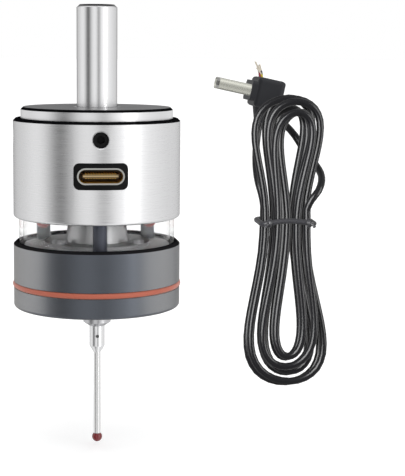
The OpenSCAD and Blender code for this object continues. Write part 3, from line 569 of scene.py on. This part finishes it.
# Rubber and the cable's soft coats
black_rubber = grained(
    "black_rubber", "#2f2f31", 0.62, 0.08, 0.006, 0.08, IOR=1.52, Sheen_Weight=0.15)
seal_rubber = grained(
    "orange_silicone_seal", "#b45d46", 0.45, 0.12, 0.004, 0.05, IOR=1.43, Sheen_Weight=0.2)
overmould = grained("soft_overmould", "#1d1e23", 0.5, 0.09, 0.006, 0.07, IOR=1.4)
jacket = grained("satin_pvc_jacket", "#060607", 0.25, 0.1, 0.001, 0.08, IOR=1.2)
tie_wire = grained("coated_tie_wire", "#141416", 0.35, 0.08, 0.003, 0.08, IOR=1.25)
# Insulation of the four cores, coloured through, and their strands
core_colours = [
    grained(name, colour, 0.4, 0.1, 0.003, 0.05, IOR=1.5) for name, colour in (
        ("grey_insulation", "#5a5a5e"), ("white_insulation", "#e6e6e2"),
        ("crimson_insulation", "#a8203c"), ("yellow_insulation", "#d8c23a"))
]
tinned_copper = grained(
    "tinned_copper_strands", "#cfc7b8", 0.3, 0.08, 0.01, 0.1, (1, 1, 12), Metallic=1.0)
# Stylus: a polished stem and a synthetic ruby ball
stem_ceramic = grained(
    "ground_ceramic", "#dcdcdc", 0.24, 0.1, 0.001, 0.02, Metallic=0.9, IOR=1.76)
ruby = grained(
    "synthetic_ruby", "#7d0f1a", 0.08, 0.5, 0.0003, 0.05, IOR=1.6, Transmission_Weight=0.1)
# Red epoxy of the lights
red_lens = grained(
    "red_epoxy_lens", "#e08480", 0.2, 0.3, 0.001, 0.05, IOR=1.53, Transmission_Weight=0.2)
# Clear acrylic of the window: its thin polished wall hardly veils what is behind it, and shows
# most where it is seen edge on, by the second of these on top of the first
VEIL_FACED = 0.07
VEIL_EDGE = 0.8
VEIL_POWER = 6.0
clear_plastic = grained(
    "clear_acrylic", "#ffffff", 0.03, 0.6, 0.0004, 0.01, IOR=1.49, Transmission_Weight=1.0)
tree, shader = clear_plastic[1:3]
turned_away = add(tree, "ShaderNodeLayerWeight", {"Blend": 0.5}).outputs["Facing"]
edge = maths(tree, "POWER", turned_away, VEIL_POWER)
veil = maths(tree, "MULTIPLY_ADD", edge, VEIL_EDGE, VEIL_FACED)
tree.links.new(veil, shader.inputs["Alpha"])

FINISHES = {
    "shank": ground_steel, "top_cap": cap_metal, "shank_screw": black_oxide,
    "centring_screws": grub_black, "upper_housing": silver_anodised,
    "port_bezel": bezel_plastic, "usb_shell": socket_steel, "usb_tongue": tongue_plastic,
    "usb_contacts": gold_contacts, "main_board": board, "control_chip": chip_plastic,
    "board_spacers": brass, "board_screws": screw_steel, "board_link": black_plastic,
    "led_board": board, "status_leds": red_lens, "clear_ring": clear_plastic,
    "post_front": post_metal, "post_left": post_metal, "post_right": post_metal,
    "post_screws": screw_steel, "floor_plate": plate_metal, "spring_tower": tower_metal,
    "tower_screws": screw_steel, "load_screw": brass, "return_spring": spring_steel,
    "lower_housing": grey_anodised, "seal_ring": seal_rubber, "base_cover": grey_anodised,
    "base_screws": screw_steel, "seat_ring": seat_plastic, "seat_balls": polished_steel,
    "seat_screws": screw_steel, "dust_seal": black_rubber, "star_hub": screw_steel,
    "star_pins": polished_steel, "stylus_base": base_steel, "stylus_stem": stem_ceramic,
    "ruby_ball": ruby, "plug_shell": plug_nickel, "plug_core": plug_plastic,
    "plug_overmould": overmould,
}
for node_name, made in FINISHES.items():
    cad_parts[node_name].data.materials[0] = made[0]

plug = [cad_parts[n] for n in ("plug_shell", "plug_core", "plug_overmould")]
cord.data.materials.append(jacket[0])
for piece, finishes in (
    (tie_band, [tie_wire]), (tie_knots, [tie_wire]), (cores, core_colours),
    (strands, [tinned_copper]),
):
    for made in finishes:
        piece.data.materials.append(made[0])
    for k, spline in enumerate(piece.data.splines):
        spline.material_index = k % len(finishes)
    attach(piece, "housing")
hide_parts("cable_tie")
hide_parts("core_wires")
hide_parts("wire_tips")
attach(cord, "housing")
# The photograph's shank and housing mirror nothing of the cable beside them
for piece in (cord, tie_band, tie_knots, cores, strands, *plug):
    piece.visible_glossy = False
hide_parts("cord_plug_tail", "cord_hank", "cord_far_tail")


# Floor and light
FLOOR_Z = -0.0690
FLOOR_SIZE = 16.0
# The camera sees the paper this much brighter than it lights the probe, so that it shows white
# but for the shadow
FLOOR_GLOW = 0.3

bpy.ops.mesh.primitive_plane_add(size=FLOOR_SIZE, location=(0, 0, FLOOR_Z))
floor = bpy.context.object
floor.name = "floor"
floor_paper, tree, shader = start(
    "white_paper_floor", Roughness=0.95, Base_Color=linear("#fbfbfb"), Specular_IOR_Level=0.0,
    Emission_Color=(1, 1, 1, 1))
path = add(tree, "ShaderNodeLightPath", {})
glow = maths(tree, "MULTIPLY", path.outputs["Is Camera Ray"], FLOOR_GLOW)
tree.links.new(glow, shader.inputs["Emission Strength"])
floor.data.materials.append(floor_paper)
floor.visible_glossy = False

# The studio's wall, which the camera sees plain white: its brightness, and its brighter and
# darker upright bands. Each has its middle and width in degrees round the probe, from the camera
# to the right, and what it adds. The dark one at the back is given from both sides.
WALL_LEVEL = 1.12
WALL_BANDS = [
    (-53, 18.5, -0.97), (7, 9, -0.72), (46, 15, 0.35), (112, 30, -0.18), (-125, 25, -0.22),
    (180, 24, -0.85), (-180, 24, -0.85),
]

world = bpy.data.worlds.new("studio")
scene.world = world
world.use_nodes = True
tree = world.node_tree
tree.nodes.clear()
direction = add(tree, "ShaderNodeTexCoord", {}).outputs["Generated"]
parts = add(tree, "ShaderNodeSeparateXYZ", {"Vector": direction})
toward = maths(tree, "MULTIPLY", parts.outputs["Y"], -1.0)
azimuth = maths(tree, "ARCTAN2", parts.outputs["X"], toward)


def wall_band(centre_deg, width_deg, height):
    """What a soft upright band adds to the wall."""
    off = maths(tree, "SUBTRACT", azimuth, math.radians(centre_deg))
    scaled = maths(tree, "DIVIDE", off, math.radians(width_deg))
    square = maths(tree, "MULTIPLY", scaled, scaled)
    fall = maths(tree, "MULTIPLY", square, -1.0)
    return maths(tree, "MULTIPLY", maths(tree, "EXPONENT", fall), height)


level = WALL_LEVEL
for centre, width, height in WALL_BANDS:
    level = maths(tree, "ADD", wall_band(centre, width, height), level)
ray = add(tree, "ShaderNodeLightPath", {}).outputs["Is Camera Ray"]
lit = add(tree, "ShaderNodeBackground", {"Color": (1, 1, 1, 1), "Strength": level}).outputs[0]
plain = add(tree, "ShaderNodeBackground", {"Color": (1, 1, 1, 1), "Strength": 1.0}).outputs[0]
shown = add(tree, "ShaderNodeMixShader", {0: ray, 1: lit, 2: plain}).outputs[0]
add(tree, "ShaderNodeOutputWorld", {"Surface": shown})

# The places that the lamps face, and the warm tint of those at the sides
PROBE_MIDDLE = (0.01, 0, -0.02)
CABLE_MIDDLE = (0.0386, 0, -0.025)
WHITE = (1, 1, 1)
WARM = (1, 0.89, 0.73)


def softbox(name, azimuth_deg, elevation_deg, distance, width, height, watts,
            middle=PROBE_MIDDLE, colour=WHITE):
    """An area lamp that faces a place, round it from the camera's side and above the floor."""
    data = bpy.data.lights.new(name, "AREA")
    data.shape = "RECTANGLE"
    data.size, data.size_y, data.energy, data.color = width, height, watts, colour
    lamp = bpy.data.objects.new(name, data)
    scene.collection.objects.link(lamp)
    a, e = math.radians(azimuth_deg), math.radians(elevation_deg)
    back = Vector((math.sin(a) * math.cos(e), -math.cos(a) * math.cos(e), math.sin(e)))
    lamp.location = Vector(middle) + back * distance
    lamp.rotation_mode = "QUATERNION"
    lamp.rotation_quaternion = back.to_track_quat("Z", "Y")
    lamp.visible_camera = False
    return lamp


def lit_only(name, pieces, lamps):
    """Lets some lamps light only these pieces."""
    group = bpy.data.collections.new(name)
    for piece in pieces:
        group.objects.link(piece)
    for lamp in lamps:
        lamp.light_linking.receiver_collection = group


softbox("right_strip", 46, 8, distance=0.6, width=0.04, height=0.5, watts=0.35)
softbox("top_box", -10, 65, distance=0.7, width=0.4, height=0.4, watts=0.5)
# The cable was lit by itself: two upright boxes draw the bright lines along its strands
lit_only("cable_set", (cord, tie_band, tie_knots), [
    softbox("cable_box_left", -36, 12, distance=0.5, width=0.36, height=0.5, watts=24,
            middle=CABLE_MIDDLE),
    softbox("cable_box_right", 64, 12, distance=0.5, width=0.2, height=0.5, watts=7,
            middle=CABLE_MIDDLE),
])
# Two wide warm boxes at the sides brighten the grey housing towards its edges
lit_only("grey_set", [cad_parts[n] for n in ("lower_housing", "base_cover")], [
    softbox("side_box_left", -114, 4, distance=0.6, width=0.9, height=0.5, watts=4.4,
            colour=WARM),
    softbox("side_box_right", 98, 4, distance=0.6, width=0.9, height=0.5, watts=4.1,
            colour=WARM),
])
